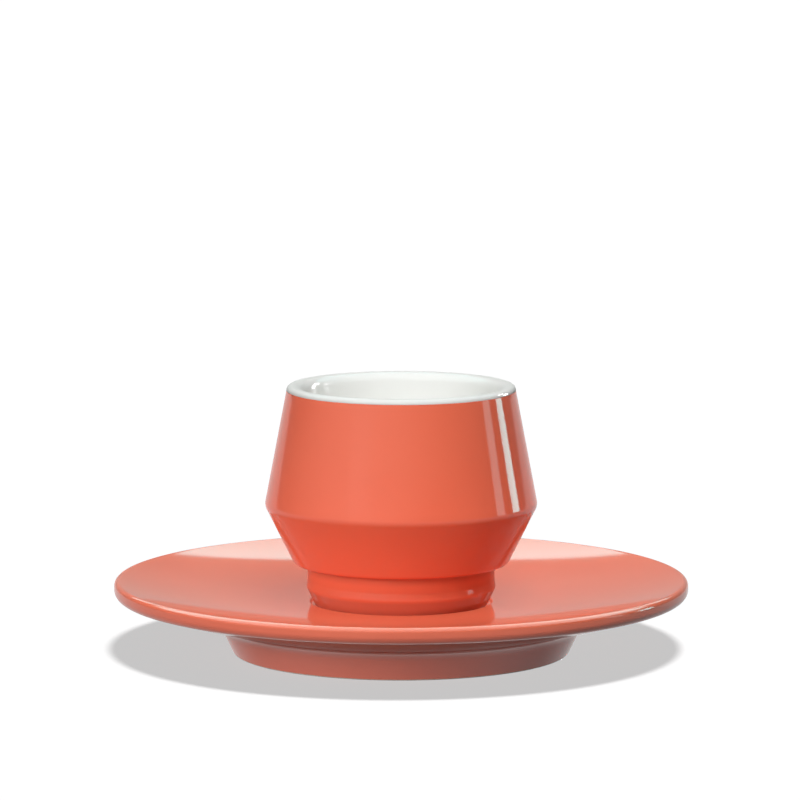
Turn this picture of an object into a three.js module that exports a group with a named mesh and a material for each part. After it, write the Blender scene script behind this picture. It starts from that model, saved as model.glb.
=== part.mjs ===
// A handleless, double-walled espresso cup standing on its saucer. Millimetres, +Z up.
// The origin is the centre of the ring that the saucer stands on.
import * as THREE from "three";

// Gap left between two pieces that meet
const CLEARANCE = 0.3;

// Saucer
const SAUCER_RADIUS = 72.5;
const SAUCER_EDGE_ROUND = 2.0;
const SAUCER_EDGE_HEIGHT = 16.17; // middle of the round edge above the table
const SAUCER_RIM_RISE = 8.6; // slope of the top next to the edge, degrees
const SAUCER_FLARE_DIP = 0.75; // how far the dished top hangs below a straight line
const SAUCER_FLARE_BEND = 700; // bend radius of the dished top
const SAUCER_TOP_HEIGHT = 12.55; // where the dished top meets the seat
const SAUCER_FLOOR = 5.15; // thickness under the seat
const SEAT_DEPTH = 0.8;
const SEAT_PLAY = 0.9; // room round the cup's foot
const SEAT_WALL_RUN = 0.5; // how far the seat's wall leans outwards
const SEAT_ROUND = 0.5;
const FOOT_RING_RADIUS = 42.5; // outside, where it stands on the table
const FOOT_RING_WIDTH = 3.2;
const FOOT_RING_HEIGHT = 7.4; // where its outside meets the saucer's underside
const FOOT_RING_TAPER = 25.4; // lean of its outside, degrees
const FOOT_RING_ROUND = 0.7;
const FOOT_RING_NECK = 2.5; // fillet between the ring and the underside
const RECESS_DRAFT = 1.3; // how far the hollow inside the ring narrows upwards
const RECESS_ROUND = 2.5;

// Cup, heights measured from the plane its foot stands on
const CUP_HEIGHT = 55.6;
const BELT_RADIUS = 34.45;
const BELT_HEIGHT = 25.3;
const BELT_ROUND = 3.0;
const RIM_RADIUS = 28.9; // outside of the shell under the white lip
const LIP_HEIGHT = 1.3; // white lip above the shell
const FOOT_RADIUS = 23.7; // upright band of the foot
const FOOT_BEVEL_RUN = 2.0; // how far the foot narrows to its base
const FOOT_BEVEL_HEIGHT = 4.2;
const FOOT_ROUND = 0.8;
const FOOT_RIM_WIDTH = 3.4; // flat ring that the cup stands on
const STEP_OVERHANG = 3.3; // how far the tapered wall stands out over the foot
const STEP_HEIGHT = 10.4;
const STEP_ROUND = 1.6;
const SHELL_WALL = 2.6;
const SHELL_FLOOR = 2.6;
const SHELL_RIM_WALL = 1.7; // shell's wall where the lip rests on it

// White liner
const LINER_WALL = 2.1;
const BOWL_HEIGHT = 9.5; // from the inner floor to where the wall turns into the bowl
const BOWL_AIR_GAP = 7.1; // air between the two walls at that turn
const BOWL_ROUND = 9.0;
const LIP_OUTER_ROUND = 1.15;
const LIP_INNER_ROUND = 2.8;

// Silicone plug in the base
const VENT_RADIUS = 3.0;
const PLUG_HEAD_OVERLAP = 2.0; // how far the head reaches past the vent
const PLUG_HEAD_THICKNESS = 0.9;
const PLUG_SETBACK = 0.6; // from the head up from the plane the foot stands on
const PLUG_BARB_OVERLAP = 0.6; // how far the barb reaches past the vent
const PLUG_BARB_HEIGHT = 0.9;
const PLUG_HEADROOM = 0.6; // air between the plug and the liner

// Facets
const TURN_SEGMENTS = 64;
const ARC_STEP = THREE.MathUtils.degToRad(30);

const glaze = (color) => new THREE.MeshStandardMaterial({ color, roughness: 0.08, metalness: 0 });
const CORAL_GLAZE = glaze(0xe2563a);
const WHITE_GLAZE = glaze(0xf1f1ec);
const SILICONE = new THREE.MeshStandardMaterial({ color: 0xb9b4ab, roughness: 0.6, metalness: 0 });

const slope = (degrees) => Math.tan(THREE.MathUtils.degToRad(degrees));
const corner = (radius, height, fillet = 0) => ({ at: new THREE.Vector2(radius, height), fillet });

// Radius at a height on the straight line through two corners.
function radiusOnLine(a, b, height) {
  const share = (height - a.at.y) / (b.at.y - a.at.y);
  return THREE.MathUtils.lerp(a.at.x, b.at.x, share);
}

// Lengths that each corner's fillet takes from its two sides, cut back where a side is too short.
function filletReaches(corners) {
  const wanted = corners.map(({ at, fillet }, i) => {
    if (fillet === 0) return 0;
    const before = corners[i - 1].at.clone().sub(at);
    const after = corners[i + 1].at.clone().sub(at);
    return fillet / Math.tan(before.angleTo(after) / 2);
  });
  const room = corners.slice(1).map(({ at }, i) => {
    const asked = wanted[i] + wanted[i + 1];
    return asked > 0 ? Math.min(1, at.distanceTo(corners[i].at) / asked) : 1;
  });
  return wanted.map((reach, i) => reach * Math.min(room[i - 1] ?? 1, room[i] ?? 1));
}

// The outline through the corners, with each fillet as an arc.
function rounded(corners) {
  const reaches = filletReaches(corners);
  return corners.flatMap(({ at }, i) => {
    if (reaches[i] === 0) return [at];
    const before = corners[i - 1].at.clone().sub(at).normalize();
    const after = corners[i + 1].at.clone().sub(at).normalize();
    const half = before.angleTo(after) / 2;
    const middle = before.clone().add(after).normalize();
    const centre = at.clone().addScaledVector(middle, reaches[i] / Math.cos(half));
    const start = at.clone().addScaledVector(before, reaches[i]);
    const turn = (Math.PI - 2 * half) * Math.sign(after.cross(before));
    const steps = Math.max(2, Math.ceil(Math.abs(turn) / ARC_STEP));
    return Array.from({ length: steps + 1 }, (_, k) => start.clone().rotateAround(centre, (turn * k) / steps));
  });
}

// The same run of sides moved towards the axis by a wall's thickness.
function inset(corners, wall) {
  const sides = corners.slice(1).map(({ at }, i) => {
    const along = at.clone().sub(corners[i].at).normalize();
    const inward = new THREE.Vector2(-along.y, along.x);
    return { start: corners[i].at.clone().addScaledVector(inward, wall), along };
  });
  return sides.slice(1).map((side, i) => {
    const last = sides[i];
    const across = side.start.clone().sub(last.start).cross(side.along) / last.along.cross(side.along);
    const at = last.start.clone().addScaledVector(last.along, across);
    return { at, fillet: corners[i + 1].fillet };
  });
}

// A solid of revolution about Z, from an outline that keeps the material on its left.
function turned(name, outline, material) {
  const geometry = new THREE.LatheGeometry(outline, TURN_SEGMENTS).rotateX(Math.PI / 2);
  const mesh = new THREE.Mesh(geometry, material);
  mesh.name = name;
  return mesh;
}

const seatHeight = SAUCER_TOP_HEIGHT - SEAT_DEPTH;
const footBaseRadius = FOOT_RADIUS - FOOT_BEVEL_RUN;
const jointHeight = CUP_HEIGHT - LIP_HEIGHT;
const baseRecess = PLUG_SETBACK + PLUG_HEAD_THICKNESS + CLEARANCE;
const shellFloorTop = baseRecess + SHELL_FLOOR;
const plugTop = shellFloorTop + CLEARANCE + PLUG_BARB_HEIGHT;

function saucer() {
  const ringTop = corner(
    FOOT_RING_RADIUS + FOOT_RING_HEIGHT * slope(FOOT_RING_TAPER),
    FOOT_RING_HEIGHT,
    FOOT_RING_NECK,
  );
  const ringInside = FOOT_RING_RADIUS - FOOT_RING_WIDTH;
  const recessTop = seatHeight - SAUCER_FLOOR;
  const edgeCentre = new THREE.Vector2(SAUCER_RADIUS - SAUCER_EDGE_ROUND, SAUCER_EDGE_HEIGHT);

  // The underside runs from the ring's neck as a tangent to the round edge.
  const toEdge = edgeCentre.clone().sub(ringTop.at);
  const underside = toEdge.angle() - Math.asin(SAUCER_EDGE_ROUND / toEdge.length());
  const edgeBottom = corner(
    SAUCER_RADIUS,
    FOOT_RING_HEIGHT + (SAUCER_RADIUS - ringTop.at.x) * Math.tan(underside),
    SAUCER_EDGE_ROUND,
  );
  const rimRise = THREE.MathUtils.degToRad(SAUCER_RIM_RISE);
  const edgeTop = corner(
    SAUCER_RADIUS,
    SAUCER_EDGE_HEIGHT + SAUCER_EDGE_ROUND * (1 / Math.cos(rimRise) + Math.tan(rimRise)),
    SAUCER_EDGE_ROUND,
  );

  const seatRadius = footBaseRadius + SEAT_PLAY;
  const seatRim = corner(seatRadius + SEAT_WALL_RUN, SAUCER_TOP_HEIGHT, SEAT_ROUND);
  const flareMiddle = edgeTop.at.clone().lerp(seatRim.at, 0.5);
  return turned("saucer", rounded([
    corner(0, recessTop),
    corner(ringInside - RECESS_DRAFT, recessTop, RECESS_ROUND),
    corner(ringInside, 0, FOOT_RING_ROUND),
    corner(FOOT_RING_RADIUS, 0, FOOT_RING_ROUND),
    ringTop,
    edgeBottom,
    edgeTop,
    corner(flareMiddle.x, flareMiddle.y - SAUCER_FLARE_DIP, SAUCER_FLARE_BEND),
    seatRim,
    corner(seatRadius, seatHeight, SEAT_ROUND),
    corner(0, seatHeight),
  ]), CORAL_GLAZE);
}

// Outside of the cup from the foot's base up to the lip, and the inside of its wall up to the belt.
const shellOutside = [
  corner(footBaseRadius, 0, FOOT_ROUND),
  corner(FOOT_RADIUS, FOOT_BEVEL_HEIGHT, FOOT_ROUND),
  corner(FOOT_RADIUS, STEP_HEIGHT, FOOT_ROUND),
  corner(FOOT_RADIUS + STEP_OVERHANG, STEP_HEIGHT, STEP_ROUND),
  corner(BELT_RADIUS, BELT_HEIGHT, BELT_ROUND),
  corner(RIM_RADIUS, jointHeight),
];
const [footInside, neckInside, stepInside, beltInside] = inset(shellOutside, SHELL_WALL);

function outerShell() {
  const footRim = footBaseRadius - FOOT_RIM_WIDTH;
  const vent = corner(VENT_RADIUS, baseRecess);
  return turned("cup_outer_shell", rounded([
    vent,
    corner(footRim, baseRecess, FOOT_ROUND),
    corner(footRim, 0, FOOT_ROUND),
    ...shellOutside,
    corner(RIM_RADIUS - SHELL_RIM_WALL, jointHeight),
    beltInside,
    stepInside,
    neckInside,
    corner(footInside.at.x, shellFloorTop, FOOT_ROUND),
    corner(VENT_RADIUS, shellFloorTop),
    vent,
  ]), CORAL_GLAZE);
}

function innerLiner() {
  const lipSeat = jointHeight + CLEARANCE;
  const neckRadius = RIM_RADIUS - SHELL_RIM_WALL - CLEARANCE;
  const bottom = plugTop + PLUG_HEADROOM;
  const floor = bottom + LINER_WALL;
  const bowlTop = floor + BOWL_HEIGHT;
  const bowlOutside = radiusOnLine(stepInside, beltInside, bowlTop) - BOWL_AIR_GAP;

  const mouth = corner(neckRadius - LINER_WALL, CUP_HEIGHT, LIP_INNER_ROUND);
  const innerTurn = corner(bowlOutside - LINER_WALL, bowlTop);
  const outerTop = corner(neckRadius, lipSeat);
  const outerTurn = corner(bowlOutside, bowlTop);
  return turned("cup_inner_liner", rounded([
    corner(0, bottom),
    corner(radiusOnLine(outerTop, outerTurn, bottom), bottom, BOWL_ROUND + LINER_WALL),
    outerTop,
    corner(RIM_RADIUS, lipSeat),
    corner(RIM_RADIUS, CUP_HEIGHT, LIP_OUTER_ROUND),
    mouth,
    corner(radiusOnLine(mouth, innerTurn, floor), floor, BOWL_ROUND),
    corner(0, floor),
  ]), WHITE_GLAZE);
}

function ventPlug() {
  const stem = VENT_RADIUS - CLEARANCE;
  const head = VENT_RADIUS + PLUG_HEAD_OVERLAP;
  const headTop = PLUG_SETBACK + PLUG_HEAD_THICKNESS;
  const barb = VENT_RADIUS + PLUG_BARB_OVERLAP;
  const barbFoot = plugTop - PLUG_BARB_HEIGHT;
  return turned("vent_plug", rounded([
    corner(0, PLUG_SETBACK),
    corner(head, PLUG_SETBACK),
    corner(head, headTop),
    corner(stem, headTop),
    corner(stem, barbFoot),
    corner(barb, barbFoot),
    corner(stem, plugTop),
    corner(0, plugTop),
  ]), SILICONE);
}

const cup = new THREE.Group();
cup.position.z = seatHeight + CLEARANCE;
cup.add(outerShell(), innerLiner(), ventPlug());

const cupAndSaucer = new THREE.Group();
cupAndSaucer.add(saucer(), cup);

export default cupAndSaucer;
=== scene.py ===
import math

import bpy
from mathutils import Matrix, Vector


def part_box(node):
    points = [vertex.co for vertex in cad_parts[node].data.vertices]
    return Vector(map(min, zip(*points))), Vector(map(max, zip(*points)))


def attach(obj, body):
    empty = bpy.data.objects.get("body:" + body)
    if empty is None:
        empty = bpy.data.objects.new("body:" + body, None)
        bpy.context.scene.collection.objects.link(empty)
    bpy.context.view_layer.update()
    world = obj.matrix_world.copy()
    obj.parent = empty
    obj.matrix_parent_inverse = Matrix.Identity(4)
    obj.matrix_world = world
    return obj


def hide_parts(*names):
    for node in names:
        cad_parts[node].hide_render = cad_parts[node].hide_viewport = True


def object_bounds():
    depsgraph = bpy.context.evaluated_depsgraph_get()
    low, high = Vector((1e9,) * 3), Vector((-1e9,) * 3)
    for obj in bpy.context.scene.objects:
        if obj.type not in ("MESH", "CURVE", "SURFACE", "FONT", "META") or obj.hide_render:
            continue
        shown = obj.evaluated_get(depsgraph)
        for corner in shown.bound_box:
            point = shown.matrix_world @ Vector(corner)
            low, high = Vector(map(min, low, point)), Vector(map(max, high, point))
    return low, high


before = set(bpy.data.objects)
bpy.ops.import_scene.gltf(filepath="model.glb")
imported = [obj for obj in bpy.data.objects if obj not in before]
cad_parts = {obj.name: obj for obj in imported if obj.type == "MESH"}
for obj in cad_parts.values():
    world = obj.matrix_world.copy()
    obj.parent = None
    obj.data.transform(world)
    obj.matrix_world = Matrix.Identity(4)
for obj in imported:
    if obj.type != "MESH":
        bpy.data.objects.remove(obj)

cad_low, cad_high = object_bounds()

MM = 0.001

# Sizes in millimetres, heights above the table
TOUCH_GAP = 0.02  # left between pieces that rest on each other
SAUCER_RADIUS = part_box("saucer")[1].x / MM
SAUCER_EDGE_ROUND = 2.0
SAUCER_EDGE_HEIGHT = 16.17  # middle of the round edge
SAUCER_RIM_RISE = math.radians(12.85)  # slope of the top next to the edge
SAUCER_DISH_END = 1.5  # how far inside the edge the dish begins
SAUCER_DISH_POWER = 2.8  # how the dish's height grows with its radius
SAUCER_DISH_STEP = 1.0
SEAT_HEIGHT = 11.75
SEAT_RADIUS = 22.6
SEAT_WALL_RUN = 0.5
SEAT_ROUND = 0.5
FOOT_RING_RADIUS = 42.5
FOOT_RING_WIDTH = 3.2
FOOT_RING_HEIGHT = 7.4
FOOT_RING_TAPER = math.radians(25.4)
FOOT_RING_ROUND = 0.7
FOOT_RING_NECK = 5.0
RECESS_TOP = 6.6
RECESS_DRAFT = 1.3
RECESS_ROUND = 2.5

CUP_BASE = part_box("cup_outer_shell")[0].z / MM
CUP_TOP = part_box("cup_inner_liner")[1].z / MM
FOOT_CONTACT = SEAT_HEIGHT + TOUCH_GAP  # the foot rests on the seat
BELT_RADIUS = 34.45
BELT_HEIGHT = CUP_BASE + 25.3
BELT_ROUND = 3.0
RIM_RADIUS = 28.9
RIM_JOINT = CUP_TOP - 1.25  # where the coral glaze meets the white lip
RIM_JOINT_ROUND = 0.12
STEP_HEIGHT = CUP_BASE + 10.4
STEP_RADIUS = 27.0
STEP_ROUND = 1.57
FOOT_RADIUS = 23.62
FOOT_FLARE = 0.28  # how far the foot swells where it meets its bevel
FOOT_FLARE_RISE = 1.9
FOOT_FLARE_BEND = 4.0
FOOT_BEVEL_TOP = CUP_BASE + 4.4
FOOT_BEVEL_ROUND = 1.1
FOOT_BASE_RADIUS = 21.7
FOOT_BASE_ROUND = 0.6
FOOT_RIM_WIDTH = 3.4
FOOT_ROUND = 0.8
BASE_RECESS = CUP_BASE + 1.8
SHELL_FLOOR = 2.6
SHELL_WALL = 2.6
SHELL_RIM_WALL = 1.7
VENT_RADIUS = 3.0
VENT_ROUND = 0.25

LINER_BOTTOM = CUP_BASE + 6.2
LINER_WALL = 2.1
LINER_NECK = 26.9
BOWL_TOP = LINER_BOTTOM + LINER_WALL + 9.5
BOWL_OUTSIDE = 20.7
BOWL_ROUND = 9.0
LIP_OUTER_ROUND = 1.18
LIP_INNER_ROUND = 2.8
LIP_UNDER_ROUND = 0.05

PLUG_LOW = CUP_BASE + 0.6
PLUG_HEAD_RADIUS = 5.0
PLUG_HEAD_THICKNESS = 0.9
PLUG_STEM = 2.7
PLUG_BARB_RADIUS = 3.6
PLUG_BARB_PLAY = 0.3
PLUG_BARB_HEIGHT = 0.9
PLUG_BARB_FOOT = BASE_RECESS + SHELL_FLOOR + PLUG_BARB_PLAY
PLUG_TOP = PLUG_BARB_FOOT + PLUG_BARB_HEIGHT
PLUG_DIMPLE_RADIUS = 2.4
PLUG_DIMPLE_DEPTH = 0.25
PLUG_ROUND = 0.25


class Socket:
    """A node's output that can be used in sums: every sum adds a Math node to the same tree."""

    def __init__(self, graph, socket):
        self.graph = graph
        self.socket = socket

    def other(self, output):
        """Another output of the same node."""
        return Socket(self.graph, self.graph.find(self.socket.node.outputs, output))

    def maths(self, operation, *values):
        return self.graph.node("ShaderNodeMath", {"operation": operation}, dict(enumerate(values)))

    def __add__(self, value):
        return self.maths("ADD", self, value)

    def __sub__(self, value):
        return self.maths("SUBTRACT", self, value)

    def __rsub__(self, value):
        return self.maths("SUBTRACT", value, self)

    def __mul__(self, value):
        return self.maths("MULTIPLY", self, value)

    def __truediv__(self, value):
        return self.maths("DIVIDE", self, value)

    def __rtruediv__(self, value):
        return self.maths("DIVIDE", value, self)

    def __pow__(self, value):
        return self.maths("POWER", self, value)

    __radd__ = __add__
    __rmul__ = __mul__


class Graph:
    """Adds nodes to one node tree."""

    def __init__(self, tree):
        self.tree = tree

    @staticmethod
    def find(sockets, key):
        if isinstance(key, int):
            return sockets[key]
        return next(socket for socket in sockets if socket.name == key and socket.enabled)

    def node(self, kind, settings=None, sockets=None, output=0):
        """A node of that kind, with its settings made before its sockets are filled or linked."""
        node = self.tree.nodes.new(kind)
        for name, value in (settings or {}).items():
            setattr(node, name, value)
        for key, value in (sockets or {}).items():
            target = self.find(node.inputs, key)
            if isinstance(value, Socket):
                self.tree.links.new(value.socket, target)
            else:
                target.default_value = value
        return Socket(self, self.find(node.outputs, output)) if node.outputs else node

    def noise(self, place, scale, detail=2.0):
        """Noise from 0 to 1 with that many features to the metre."""
        sockets = {"Vector": place, "Scale": scale, "Detail": detail}
        return self.node("ShaderNodeTexNoise", None, sockets, "Fac")

    def blend(self, factor, first, second):
        """A colour between two colours."""
        settings = {"data_type": "RGBA"}
        return self.node("ShaderNodeMix", settings, {0: factor, "A": first, "B": second}, "Result")

    def ramp(self, value, low, high):
        """0 below low, 1 above high and smooth between."""
        settings = {"interpolation_type": "SMOOTHSTEP"}
        return self.node("ShaderNodeMapRange", settings, {"Value": value, 1: low, 2: high})


def linear(*channels):
    """A colour written as 0 to 255 in the screen's own scale, as the shaders' linear values."""
    colour = []
    for channel in channels:
        share = channel / 255
        # The numbers are those of the sRGB standard
        colour.append(share / 12.92 if share <= 0.04045 else ((share + 0.055) / 1.055) ** 2.4)
    return (*colour, 1.0)


def new_material(name):
    material = bpy.data.materials.new(name)
    material.use_nodes = True
    material.node_tree.nodes.clear()
    return material, Graph(material.node_tree)


# Turned pieces

FILLET_STEPS = 12
LONGEST_STEP = 1.0 * MM
TURN_STEPS = 192
MERGE_DISTANCE = 0.001 * MM


def turning_tree():
    """Rounds an outline's corners by their own fillets, and turns it about Z into a closed skin."""
    tree = bpy.data.node_groups.new("turned_piece", "GeometryNodeTree")
    graph = Graph(tree)
    inputs = {}
    for label, kind, value in (
        ("Outline", "NodeSocketGeometry", None),
        ("Fillet Steps", "NodeSocketInt", FILLET_STEPS),
        ("Longest Step", "NodeSocketFloat", LONGEST_STEP),
        ("Turn Steps", "NodeSocketInt", TURN_STEPS),
        ("Finish", "NodeSocketMaterial", None),
    ):
        item = tree.interface.new_socket(label, in_out="INPUT", socket_type=kind)
        if value is not None:
            item.default_value = value
        inputs[label] = item.identifier
    tree.interface.new_socket("Skin", in_out="OUTPUT", socket_type="NodeSocketGeometry")
    given = graph.node("NodeGroupInput", output="Outline")

    # The rounded outline, with its straight runs cut into short steps
    curve = graph.node("GeometryNodeMeshToCurve", None, {"Mesh": given})
    stored = {"data_type": "FLOAT"}
    fillet = graph.node("GeometryNodeInputNamedAttribute", stored, {"Name": "fillet"}, "Attribute")
    curve = graph.node("GeometryNodeFilletCurve", {"mode": "POLY"}, {
        "Curve": curve,
        "Count": given.other("Fillet Steps"),
        "Radius": fillet,
        "Limit Radius": True,
    })
    place = {"data_type": "FLOAT_VECTOR"}
    here = graph.node("GeometryNodeInputPosition")
    following = graph.node("GeometryNodeOffsetPointInCurve", None, {"Offset": 1}, "Point Index")
    there = graph.node("GeometryNodeFieldAtIndex", place, {"Index": following, "Value": here})
    run = graph.node("ShaderNodeVectorMath", {"operation": "DISTANCE"}, {0: here, 1: there}, "Value")
    cuts = run / given.other("Longest Step")
    curve = graph.node("GeometryNodeSubdivideCurve", None, {"Curve": curve, "Cuts": cuts})
    counted = {"component": "CURVE"}
    count = graph.node("GeometryNodeAttributeDomainSize", counted, {"Geometry": curve}, "Point Count")

    # A flat grid, one row for each point of the outline, wrapped round the axis
    # It is one unit wide and deep and centred, so its places run from -0.5 to 0.5
    grid = graph.node("GeometryNodeMeshGrid", None, {
        "Size X": 1.0,
        "Size Y": 1.0,
        "Vertices X": given.other("Turn Steps") + 1,
        "Vertices Y": count,
    })
    across = graph.node("ShaderNodeSeparateXYZ", None, {0: here})
    angle = (across + 0.5) * math.tau
    row = (across.other("Y") + 0.5) * (count - 1)
    row = row.maths("ROUND", row)
    point = graph.node("GeometryNodeSampleIndex", place, {
        "Geometry": curve,
        "Value": here,
        "Index": row,
    })
    point = graph.node("ShaderNodeSeparateXYZ", None, {0: point})
    wrapped = graph.node("ShaderNodeCombineXYZ", None, {
        "X": point * angle.maths("COSINE", angle),
        "Y": point * angle.maths("SINE", angle),
        "Z": point.other("Z"),
    })
    skin = graph.node("GeometryNodeSetPosition", None, {"Geometry": grid, "Position": wrapped})
    skin = graph.node("GeometryNodeMergeByDistance", None, {
        "Geometry": skin,
        "Distance": MERGE_DISTANCE,
    })
    skin = graph.node("GeometryNodeSetShadeSmooth", None, {"Geometry": skin})
    skin = graph.node("GeometryNodeRealizeInstances", None, {"Geometry": skin})
    skin = graph.node("GeometryNodeSetMaterial", None, {
        "Geometry": skin,
        "Material": given.other("Finish"),
    })
    graph.node("NodeGroupOutput", None, {"Skin": skin})
    return tree, inputs


TURNING, TURNING_INPUTS = turning_tree()


def turned(name, corners, finish):
    """A piece from an outline of (radius, height, fillet) corners, with the material on its left."""
    mesh = bpy.data.meshes.new(name)
    points = [(radius * MM, 0.0, height * MM) for radius, height, _ in corners]
    mesh.from_pydata(points, [(i, i + 1) for i in range(len(points) - 1)], [])
    fillets = mesh.attributes.new("fillet", "FLOAT", "POINT")
    fillets.data.foreach_set("value", [fillet * MM for _, _, fillet in corners])
    piece = bpy.data.objects.new(name, mesh)
    bpy.context.scene.collection.objects.link(piece)
    modifier = piece.modifiers.new("turned", "NODES")
    modifier.node_group = TURNING
    modifier[TURNING_INPUTS["Finish"]] = finish
    depsgraph = bpy.context.evaluated_depsgraph_get()
    skin = bpy.data.meshes.new_from_object(piece.evaluated_get(depsgraph))
    piece.modifiers.remove(modifier)
    piece.data = skin
    skin.name = name
    return piece


def settle(piece, body, node):
    """Attaches a finished piece to its body's empty and hides the CAD part it replaces."""
    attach(piece, body)
    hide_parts(node)


# Finishes

CORAL = linear(231, 108, 79)
CORAL_THICK = linear(229, 104, 75)  # where the glaze has gathered
CORAL_PAINTED_SHADE = linear(202, 98, 75)  # painted shade round the foot, on its bevel and under the step
WHITE = linear(232, 232, 229)
WHITE_THICK = linear(228, 230, 226)
BISCUIT = linear(226, 217, 203)  # bare fired clay
BISCUIT_DUST = linear(196, 184, 168)
SILICONE = linear(185, 180, 171)
SILICONE_DARK = linear(170, 165, 156)

GLAZE_IOR = 1.5
CORAL_GLOSS = 0.6  # share of the skin that is clear glaze
WHITE_GLOSS = 0.12
GLAZE_DRIFT = 22.0  # features to the metre, as in the other noises
GLAZE_DRIFT_RANGE = (0.35, 0.65)  # values of the noise between which the glaze goes from thin to thick
GLAZE_RIPPLE = 240.0
GLAZE_RIPPLE_HEIGHT = 0.0012 * MM
GLAZE_ROUGHNESS = 0.055
GLAZE_ROUGHNESS_SPREAD = 0.03
GLAZE_ROUGHNESS_DRIFT = 88.0
BARE_BAND = 0.22 * MM  # how high the bare clay reaches above the plane a foot stands on
BARE_FADE = 0.12 * MM
BARE_WAVER = 180.0
BARE_ROUGHNESS = 0.75
CLAY_GRAIN = 3500.0
CLAY_GRAIN_HEIGHT = 0.02 * MM
SILICONE_DRIFT = 400.0
SILICONE_SKIN = 5000.0
SILICONE_SKIN_HEIGHT = 0.01 * MM
SILICONE_ROUGHNESS = 0.5
SILICONE_ROUGHNESS_SPREAD = 0.1
SILICONE_ROUGHNESS_DRIFT = 900.0

# Heights in millimetres where shade is painted darker into the cup's glaze: it starts, is full from and
# to, and ends
BEVEL_PAINTED_SHADE = (
    FOOT_CONTACT - 2.0,
    FOOT_CONTACT - 1.0,
    FOOT_BEVEL_TOP - FOOT_BEVEL_ROUND,
    FOOT_BEVEL_TOP + 0.4,
)
STEP_PAINTED_SHADE = (
    STEP_HEIGHT - 2.8,
    STEP_HEIGHT - 0.4,
    STEP_HEIGHT + 0.02,
    STEP_HEIGHT + 0.25,
)


def glaze(name, thin, thick, share, foot_height=None, painted_shade_bands=()):
    """Gloss glaze that drifts in thickness, has shade painted in at some heights and leaves bare clay
    under a foot.
    """
    material, graph = new_material(name)
    place = graph.node("ShaderNodeTexCoord", output="Object")
    drift = graph.ramp(graph.noise(place, GLAZE_DRIFT), *GLAZE_DRIFT_RANGE)
    colour = graph.blend(drift, thin, thick)
    roughness = GLAZE_ROUGHNESS + GLAZE_ROUGHNESS_SPREAD * graph.noise(place, GLAZE_ROUGHNESS_DRIFT)
    ripple = graph.noise(place, GLAZE_RIPPLE, detail=1.0) * GLAZE_RIPPLE_HEIGHT
    height = graph.node("ShaderNodeSeparateXYZ", None, {0: place}, "Z")
    # Painted shade: the coral darkens in each height band, on the foot's bevel and under the step
    for low, full_low, full_high, high in painted_shade_bands:
        rising = graph.ramp(height, low * MM, full_low * MM)
        falling = 1 - graph.ramp(height, full_high * MM, high * MM)
        colour = graph.blend(rising * falling, colour, CORAL_PAINTED_SHADE)
    if foot_height is not None:
        waver = (graph.noise(place, BARE_WAVER) - 0.5) * 2  # from -1 to 1
        edge = BARE_BAND + BARE_FADE * waver
        bare = 1 - graph.ramp(height - foot_height - edge, 0.0, BARE_FADE)
        grain = graph.noise(place, CLAY_GRAIN, detail=3.0)
        clay = graph.blend(grain, BISCUIT_DUST, BISCUIT)
        colour = graph.blend(bare, colour, clay)
        roughness = roughness + bare * (BARE_ROUGHNESS - roughness)
        ripple = ripple + bare * grain * CLAY_GRAIN_HEIGHT
    bump = graph.node("ShaderNodeBump", None, {"Height": ripple, "Strength": 1.0, "Distance": 1.0})
    matte = graph.node("ShaderNodeBsdfDiffuse", None, {"Color": colour, "Normal": bump})
    gloss = graph.node("ShaderNodeBsdfPrincipled", None, {
        "Base Color": colour,
        "Roughness": roughness,
        "IOR": GLAZE_IOR,
        "Normal": bump,
    })
    surface = graph.node("ShaderNodeMixShader", None, {0: share, 1: matte, 2: gloss})
    graph.node("ShaderNodeOutputMaterial", None, {"Surface": surface})
    return material


def moulded_silicone():
    """Matte silicone with a fine moulded skin."""
    material, graph = new_material("moulded_silicone")
    place = graph.node("ShaderNodeTexCoord", output="Object")
    colour = graph.blend(graph.noise(place, SILICONE_DRIFT), SILICONE_DARK, SILICONE)
    skin = graph.noise(place, SILICONE_SKIN) * SILICONE_SKIN_HEIGHT
    drift = graph.noise(place, SILICONE_ROUGHNESS_DRIFT)
    bump = graph.node("ShaderNodeBump", None, {"Height": skin, "Strength": 1.0, "Distance": 1.0})
    surface = graph.node("ShaderNodeBsdfPrincipled", None, {
        "Base Color": colour,
        "Roughness": SILICONE_ROUGHNESS + SILICONE_ROUGHNESS_SPREAD * drift,
        "Normal": bump,
    })
    graph.node("ShaderNodeOutputMaterial", None, {"Surface": surface})
    return material


# The object's pieces


def radius_on_line(first, second, height):
    """Radius at a height on the straight line through two corners."""
    share = (height - first[1]) / (second[1] - first[1])
    return first[0] + share * (second[0] - first[0])


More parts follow.
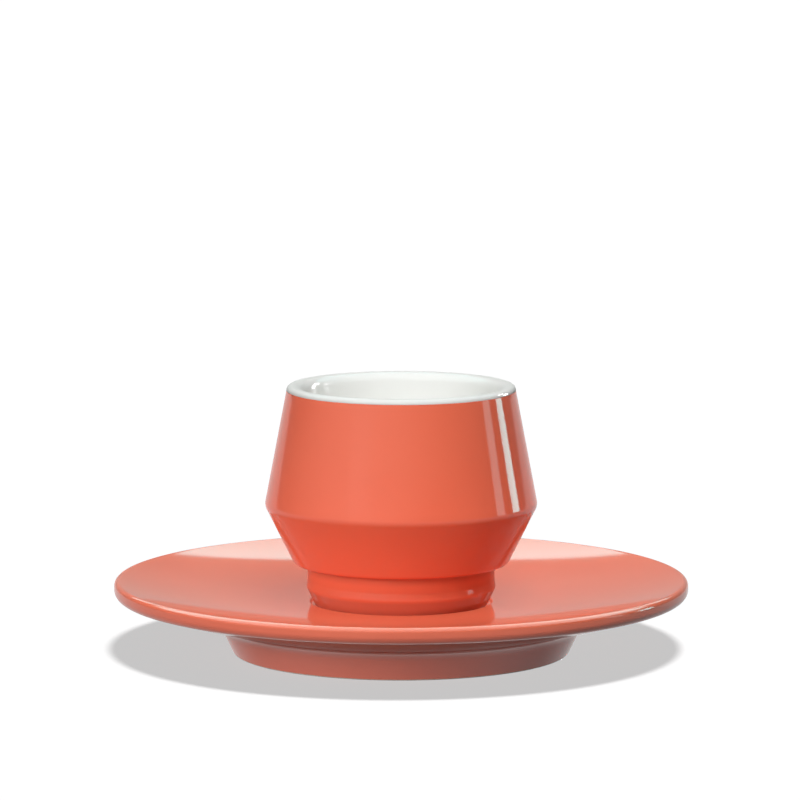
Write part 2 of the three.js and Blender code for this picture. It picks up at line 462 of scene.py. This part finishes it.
def saucer():
    ring_top = FOOT_RING_RADIUS + FOOT_RING_HEIGHT * math.tan(FOOT_RING_TAPER)
    ring_inside = FOOT_RING_RADIUS - FOOT_RING_WIDTH
    # The underside is a tangent from the ring's neck to the round edge
    run = SAUCER_RADIUS - SAUCER_EDGE_ROUND - ring_top
    rise = SAUCER_EDGE_HEIGHT - FOOT_RING_HEIGHT
    underside = math.atan2(rise, run) - math.asin(SAUCER_EDGE_ROUND / math.hypot(run, rise))
    edge_bottom = FOOT_RING_HEIGHT + (SAUCER_RADIUS - ring_top) * math.tan(underside)
    edge_rise = 1 / math.cos(SAUCER_RIM_RISE) + math.tan(SAUCER_RIM_RISE)
    edge_top = SAUCER_EDGE_HEIGHT + SAUCER_EDGE_ROUND * edge_rise
    slope = math.tan(SAUCER_RIM_RISE)
    dish_radius = SAUCER_RADIUS - SAUCER_DISH_END
    dish_rim = edge_top - SAUCER_DISH_END * slope
    seat_rim = SEAT_RADIUS + SEAT_WALL_RUN

    def dish(radius):
        share = (radius / dish_radius) ** SAUCER_DISH_POWER
        return radius, dish_rim - slope * dish_radius / SAUCER_DISH_POWER * (1 - share), 0.0

    steps = round((dish_radius - seat_rim) / SAUCER_DISH_STEP)
    inward = [dish_radius - (dish_radius - seat_rim) * i / steps for i in range(steps)]
    return turned("glazed_saucer", [
        (0.0, RECESS_TOP, 0.0),
        (ring_inside - RECESS_DRAFT, RECESS_TOP, RECESS_ROUND),
        (ring_inside, 0.0, FOOT_RING_ROUND),
        (FOOT_RING_RADIUS, 0.0, FOOT_RING_ROUND),
        (ring_top, FOOT_RING_HEIGHT, FOOT_RING_NECK),
        (SAUCER_RADIUS, edge_bottom, SAUCER_EDGE_ROUND),
        (SAUCER_RADIUS, edge_top, SAUCER_EDGE_ROUND),
        *map(dish, inward),
        (*dish(seat_rim)[:2], SEAT_ROUND),
        (SEAT_RADIUS, SEAT_HEIGHT, SEAT_ROUND),
        (0.0, SEAT_HEIGHT, 0.0),
    ], glaze("coral_glaze_saucer", CORAL, CORAL_THICK, CORAL_GLOSS, 0.0))


def cup_outer_shell():
    floor_top = BASE_RECESS + SHELL_FLOOR
    vent_middle = (VENT_RADIUS, (BASE_RECESS + floor_top) / 2, 0.0)
    foot_rim = FOOT_BASE_RADIUS - FOOT_RIM_WIDTH
    foot_inside = FOOT_RADIUS - SHELL_WALL
    painted_shade_bands = (BEVEL_PAINTED_SHADE, STEP_PAINTED_SHADE)
    return turned("glazed_cup_shell", [
        vent_middle,
        (VENT_RADIUS, BASE_RECESS, VENT_ROUND),
        (foot_rim, BASE_RECESS, FOOT_ROUND),
        (foot_rim, FOOT_CONTACT, FOOT_BASE_ROUND),
        (FOOT_BASE_RADIUS, FOOT_CONTACT, FOOT_BASE_ROUND),
        (FOOT_RADIUS + FOOT_FLARE, FOOT_BEVEL_TOP, FOOT_BEVEL_ROUND),
        (FOOT_RADIUS, FOOT_BEVEL_TOP + FOOT_FLARE_RISE, FOOT_FLARE_BEND),
        (FOOT_RADIUS, STEP_HEIGHT, FOOT_ROUND),
        (STEP_RADIUS, STEP_HEIGHT, STEP_ROUND),
        (BELT_RADIUS, BELT_HEIGHT, BELT_ROUND),
        (RIM_RADIUS, RIM_JOINT, RIM_JOINT_ROUND),
        (RIM_RADIUS - SHELL_RIM_WALL, RIM_JOINT, RIM_JOINT_ROUND),
        (BELT_RADIUS - SHELL_WALL, BELT_HEIGHT, BELT_ROUND),
        (STEP_RADIUS - SHELL_WALL, STEP_HEIGHT + SHELL_WALL, STEP_ROUND),
        (foot_inside, STEP_HEIGHT + SHELL_WALL, FOOT_ROUND),
        (foot_inside, floor_top, FOOT_ROUND),
        (VENT_RADIUS, floor_top, VENT_ROUND),
        vent_middle,
    ], glaze("coral_glaze_cup", CORAL, CORAL_THICK, CORAL_GLOSS, FOOT_CONTACT * MM, painted_shade_bands))


def cup_inner_liner():
    floor = LINER_BOTTOM + LINER_WALL
    lip_low = RIM_JOINT + TOUCH_GAP
    mouth = (LINER_NECK - LINER_WALL, CUP_TOP, LIP_INNER_ROUND)
    inner_turn = (BOWL_OUTSIDE - LINER_WALL, BOWL_TOP)
    neck = (LINER_NECK, lip_low, RIM_JOINT_ROUND)
    outer_turn = (BOWL_OUTSIDE, BOWL_TOP)
    return turned("glazed_cup_liner", [
        (0.0, LINER_BOTTOM, 0.0),
        (radius_on_line(neck, outer_turn, LINER_BOTTOM), LINER_BOTTOM, BOWL_ROUND + LINER_WALL),
        neck,
        (RIM_RADIUS, lip_low, LIP_UNDER_ROUND),
        (RIM_RADIUS, CUP_TOP, LIP_OUTER_ROUND),
        mouth,
        (radius_on_line(mouth, inner_turn, floor), floor, BOWL_ROUND),
        (0.0, floor, 0.0),
    ], glaze("white_glaze", WHITE, WHITE_THICK, WHITE_GLOSS))


def vent_plug():
    head_top = PLUG_LOW + PLUG_HEAD_THICKNESS
    dimple = PLUG_LOW + PLUG_DIMPLE_DEPTH
    return turned("moulded_vent_plug", [
        (0.0, dimple, 0.0),
        (PLUG_DIMPLE_RADIUS - PLUG_DIMPLE_DEPTH, dimple, PLUG_ROUND),
        (PLUG_DIMPLE_RADIUS, PLUG_LOW, PLUG_ROUND),
        (PLUG_HEAD_RADIUS, PLUG_LOW, PLUG_ROUND),
        (PLUG_HEAD_RADIUS, head_top, PLUG_ROUND),
        (PLUG_STEM, head_top, PLUG_ROUND),
        (PLUG_STEM, PLUG_BARB_FOOT, PLUG_ROUND),
        (PLUG_BARB_RADIUS, PLUG_BARB_FOOT, PLUG_ROUND),
        (PLUG_STEM, PLUG_TOP, PLUG_ROUND),
        (0.0, PLUG_TOP, 0.0),
    ], moulded_silicone())


saucer_piece = saucer()
shell_piece = cup_outer_shell()
liner_piece = cup_inner_liner()
plug_piece = vent_plug()
settle(saucer_piece, "saucer", "saucer")
settle(shell_piece, "cup", "cup_outer_shell")
settle(liner_piece, "cup", "cup_inner_liner")
settle(plug_piece, "cup", "vent_plug")

# Stage, metres from here on

FLOOR_SIDE = 40.0
FLOOR_DROP = 0.05 * MM
FLOOR_COLOUR = (0.1, 0.1, 0.1, 1.0)
FLOOR_SHADE = 0.555  # brightness of the floor where the object shades it
FLOOR_MIRRORED = (1.0, 1.0, 1.0, 1.0)
FLOOR_MIRRORED_FRONT = (1.9, 1.9, 1.9, 1.0)
FLOOR_FRONT = (-0.041, -0.022)  # depths between which the mirrored floor dims towards the back
FLOOR_MIRRORED_FAR = (1.15, 1.15, 1.15, 1.0)
FLOOR_FAR = (0.050, 0.056)  # distances from the middle between which it takes its far brightness

# Lamps: a side is an azimuth from the camera's side round to the right and an elevation, in degrees
LOOK_AT = Vector((0.0, 0.0, 40 * MM))
LAMP_DISTANCE = 4.0
NEUTRAL = (1.0, 1.0, 1.0)
PALE_BLUE = (0.66, 0.93, 1.0)
COOL = (0.6, 1.0, 1.0)
COOLER = (0.4, 1.0, 1.0)
CEILING_SIDE = (28.0, 71.0)
CEILING_SPREAD = 40.0
CEILING = 0.25
CEILING_ON_SAUCER = 0.75
CEILING_ON_SHELL = 0.72
CEILING_ON_LINER = 0.71
CEILING_ON_LINER_SIDE = (0.0, 85.0)
SHADOW_LAMP_SIDE = (18.0, 72.0)
SHADOW_LAMP = 4.72
SHADOW_LAMP_SPREAD = 10.5
KEY_SIDE = (-38.0, 16.0)
KEY_SPREAD = 22.0
KEY = 0.56
KEY_ON_SAUCER = 0.62
KEY_ON_SAUCER_SIDE = (-36.0, 17.0)
KEY_ON_LINER = 0.585
KEY_ON_LINER_SIDE = (-10.0, 10.0)
BACK_FILL_SIDE = (180.0, -12.0)
BACK_FILL_SPREAD = 20.0
BACK_FILL = 0.45
ROOM = 0.1

# Softboxes: side, width and height in degrees, radiance and colour
BACK_SOFTBOX = ((180.0, 27.6), 54.0, 9.4, 2.85, COOLER)
BRIGHT_STRIP = ((113.7, 7.75), 10.0, 16.5, 8.6, COOLER)
DIM_STRIP = ((93.3, 7.75), 9.4, 16.5, 2.8, COOL)
BRIGHT_STRIP_ON_LINER = ((129.0, 11.0), 10.5, 34.0, 70.0, NEUTRAL)
DIM_STRIP_ON_LINER = ((101.0, 11.0), 10.0, 34.0, 24.0, NEUTRAL)

# What the glaze mirrors of the room
MIRROR_COLOUR = (0.65, 1.0, 1.0, 1.0)
MIRROR_ROOM = 0.2
MIRROR_BACK = 0.5
MIRROR_BACK_POWER = 4  # the higher a power, the narrower what it shapes
MIRROR_TOP = 9.0
MIRROR_TOP_SIDE = 0.6  # share of the bright ceiling that is there at the sides
MIRROR_TOP_DEPTH = 0.4  # share that is added at the back and taken off at the front
MIRROR_TOP_COLOUR = (0.35, 1.0, 1.0, 1.0)
MIRROR_TOP_RISE = (0.45, 0.54)  # heights between which the bright ceiling begins
MIRROR_TOP_NOTCH = 0.9  # how much higher it begins at the back
MIRROR_TOP_NOTCH_POWER = 8
MIRROR_KEY = 1.15
MIRROR_KEY_POWER = 2


def floor():
    """A pale floor that shows the object's shadow, is mirrored in the glaze and lights nothing."""
    material, graph = new_material("pale_floor")
    path = graph.node("ShaderNodeLightPath", output="Is Glossy Ray")
    place = graph.node("ShaderNodeTexCoord", output="Object")
    depth = graph.node("ShaderNodeSeparateXYZ", None, {0: place}, "Y")
    # Painted reflection: to mirror rays the floor glows without shadow, 1.9 in front near the foot
    # ring, 1.0 behind and 1.15 further out
    glow = graph.blend(graph.ramp(depth, *FLOOR_FRONT), FLOOR_MIRRORED_FRONT, FLOOR_MIRRORED)
    distance = graph.node("ShaderNodeVectorMath", {"operation": "LENGTH"}, {0: place}, "Value")
    glow = graph.blend(graph.ramp(distance, *FLOOR_FAR), glow, FLOOR_MIRRORED_FAR)
    mirrored = graph.node("ShaderNodeEmission", None, {"Color": glow, "Strength": 1.0})
    shade = graph.node("ShaderNodeEmission", None, {"Strength": FLOOR_SHADE})
    matte = graph.node("ShaderNodeBsdfDiffuse", None, {"Color": FLOOR_COLOUR})
    seen = graph.node("ShaderNodeAddShader", None, {0: shade, 1: matte})
    surface = graph.node("ShaderNodeMixShader", None, {0: path, 1: seen, 2: mirrored})
    graph.node("ShaderNodeOutputMaterial", None, {"Surface": surface})
    half = FLOOR_SIDE / 2
    low = cad_low.z - FLOOR_DROP
    corners = ((-half, -half, low), (half, -half, low), (half, half, low), (-half, half, low))
    mesh = bpy.data.meshes.new("floor")
    mesh.from_pydata(corners, [], [(0, 1, 2, 3)])
    mesh.materials.append(material)
    ground = bpy.data.objects.new("floor", mesh)
    ground.visible_diffuse = False
    ground.visible_shadow = False
    bpy.context.scene.collection.objects.link(ground)
    return ground


def towards(azimuth, elevation):
    """Direction from the object."""
    turn = math.radians(azimuth)
    rise = math.radians(elevation)
    return Vector((math.sin(turn) * math.cos(rise), -math.cos(turn) * math.cos(rise), math.sin(rise)))


def group(name, pieces):
    """A collection of its own for some pieces."""
    collection = bpy.data.collections.new(name)
    for piece in pieces:
        collection.objects.link(piece)
    return collection


def far_lamp(name, lit, side, spread, strength, colour=NEUTRAL):
    """A far lamp for some pieces that makes a white face turned to it that bright."""
    lamp = bpy.data.lights.new(name, "SUN")
    lamp.energy = math.pi * strength
    lamp.angle = math.radians(spread)
    lamp.color = colour
    light = bpy.data.objects.new(name, lamp)
    light.rotation_euler = towards(*side).to_track_quat("Z", "Y").to_euler()
    light.visible_glossy = False
    light.light_linking.receiver_collection = group(name + "_lights", lit)
    bpy.context.scene.collection.objects.link(light)
    return light


def softbox(name, lit, side, wide, tall, radiance, colour):
    """A rectangle of light sized in degrees that shows in the glaze of some pieces."""
    width = 2 * LAMP_DISTANCE * math.tan(math.radians(wide / 2))
    height = 2 * LAMP_DISTANCE * math.tan(math.radians(tall / 2))
    lamp = bpy.data.lights.new(name, "AREA")
    lamp.shape = "RECTANGLE"
    lamp.size = width
    lamp.size_y = height
    lamp.energy = 4 * width * height * radiance  # the renderer divides by four times the area
    lamp.color = colour
    light = bpy.data.objects.new(name, lamp)
    direction = towards(*side)
    light.location = LOOK_AT + direction * LAMP_DISTANCE
    light.rotation_euler = direction.to_track_quat("Z", "Y").to_euler()
    light.visible_camera = False
    light.visible_diffuse = False
    light.light_linking.receiver_collection = group(name + "_lights", lit)
    bpy.context.scene.collection.objects.link(light)
    return light


def room():
    """Weak light from all round, mirrored brighter above, at the back and by the key lamp."""
    world = bpy.data.worlds.new("studio")
    world.use_nodes = True
    world.node_tree.nodes.clear()
    graph = Graph(world.node_tree)
    direction = graph.node("ShaderNodeTexCoord", output="Generated")
    depth = graph.node("ShaderNodeSeparateXYZ", None, {0: direction}, "Y")
    behind = depth.maths("MAXIMUM", depth, 0.0)
    height = depth.other("Z") - MIRROR_TOP_NOTCH * behind ** MIRROR_TOP_NOTCH_POWER
    share = MIRROR_TOP_SIDE + MIRROR_TOP_DEPTH * depth
    top = MIRROR_TOP * graph.ramp(height, *MIRROR_TOP_RISE) * share
    facing = graph.node("ShaderNodeVectorMath", {"operation": "DOT_PRODUCT"}, {
        0: direction,
        1: towards(*KEY_SIDE),
    }, "Value")
    lobe = facing.maths("MAXIMUM", facing, 0.0) ** MIRROR_KEY_POWER
    mirrored = MIRROR_ROOM + MIRROR_BACK * behind ** MIRROR_BACK_POWER + top + MIRROR_KEY * lobe
    path = graph.node("ShaderNodeLightPath", output="Is Glossy Ray")
    strength = ROOM + path * (mirrored - ROOM)
    strength = strength + path.other("Is Camera Ray") * (1 - strength)
    colour = graph.blend(top / mirrored, MIRROR_COLOUR, MIRROR_TOP_COLOUR)
    colour = graph.blend(path, (1.0, 1.0, 1.0, 1.0), colour)
    glow = graph.node("ShaderNodeBackground", None, {"Color": colour, "Strength": strength})
    graph.node("ShaderNodeOutputWorld", None, {"Surface": glow})
    bpy.context.scene.world = world


ground_piece = floor()
room()
coral_pieces = [saucer_piece, shell_piece, plug_piece]
cup_outside = [shell_piece, plug_piece]
far_lamp("shadow_lamp", [ground_piece], SHADOW_LAMP_SIDE, SHADOW_LAMP_SPREAD, SHADOW_LAMP)
far_lamp("ceiling", coral_pieces, CEILING_SIDE, CEILING_SPREAD, CEILING)
far_lamp("ceiling_on_shell", cup_outside, CEILING_SIDE, CEILING_SPREAD, CEILING_ON_SHELL)
far_lamp("ceiling_on_liner", [liner_piece], CEILING_ON_LINER_SIDE, CEILING_SPREAD, CEILING_ON_LINER)
saucer_ceiling = far_lamp(
    "ceiling_on_saucer", [saucer_piece], CEILING_SIDE, CEILING_SPREAD, CEILING_ON_SAUCER, PALE_BLUE
)
far_lamp("key", cup_outside, KEY_SIDE, KEY_SPREAD, KEY)
saucer_key = far_lamp("key_on_saucer", [saucer_piece], KEY_ON_SAUCER_SIDE, KEY_SPREAD, KEY_ON_SAUCER)
liner_key = far_lamp("key_on_liner", [liner_piece], KEY_ON_LINER_SIDE, KEY_SPREAD, KEY_ON_LINER)
far_lamp("back_fill", [*coral_pieces, liner_piece], BACK_FILL_SIDE, BACK_FILL_SPREAD, BACK_FILL)
softbox("back_softbox", coral_pieces, *BACK_SOFTBOX)
softbox("bright_strip", coral_pieces, *BRIGHT_STRIP)
softbox("dim_strip", coral_pieces, *DIM_STRIP)
bright_inside = softbox("bright_strip_on_liner", [liner_piece], *BRIGHT_STRIP_ON_LINER)
dim_inside = softbox("dim_strip_on_liner", [liner_piece], *DIM_STRIP_ON_LINER)

# The cup throws no shadow in the light of these lamps
saucer_alone = group("saucer_alone", [saucer_piece])
for light in (saucer_ceiling, saucer_key, liner_key, bright_inside, dim_inside):
    light.light_linking.blocker_collection = saucer_alone

# Camera

CAMERA_PLACE = (-0.000295, -1.305, 0.2379)
CAMERA_PITCH = 0.1326  # radians below the horizon
CAMERA_LENS = 235.34  # millimetres, as is the sensor
CAMERA_SENSOR = 36.0

camera_data = bpy.data.cameras.new("camera")
camera_data.sensor_width = CAMERA_SENSOR
camera_data.lens = CAMERA_LENS
camera = bpy.data.objects.new("camera", camera_data)
camera.location = CAMERA_PLACE
camera.rotation_euler = (math.pi / 2 - CAMERA_PITCH, 0.0, 0.0)
bpy.context.scene.collection.objects.link(camera)
bpy.context.scene.camera = camera
bpy.context.scene.view_settings.view_transform = "Standard"
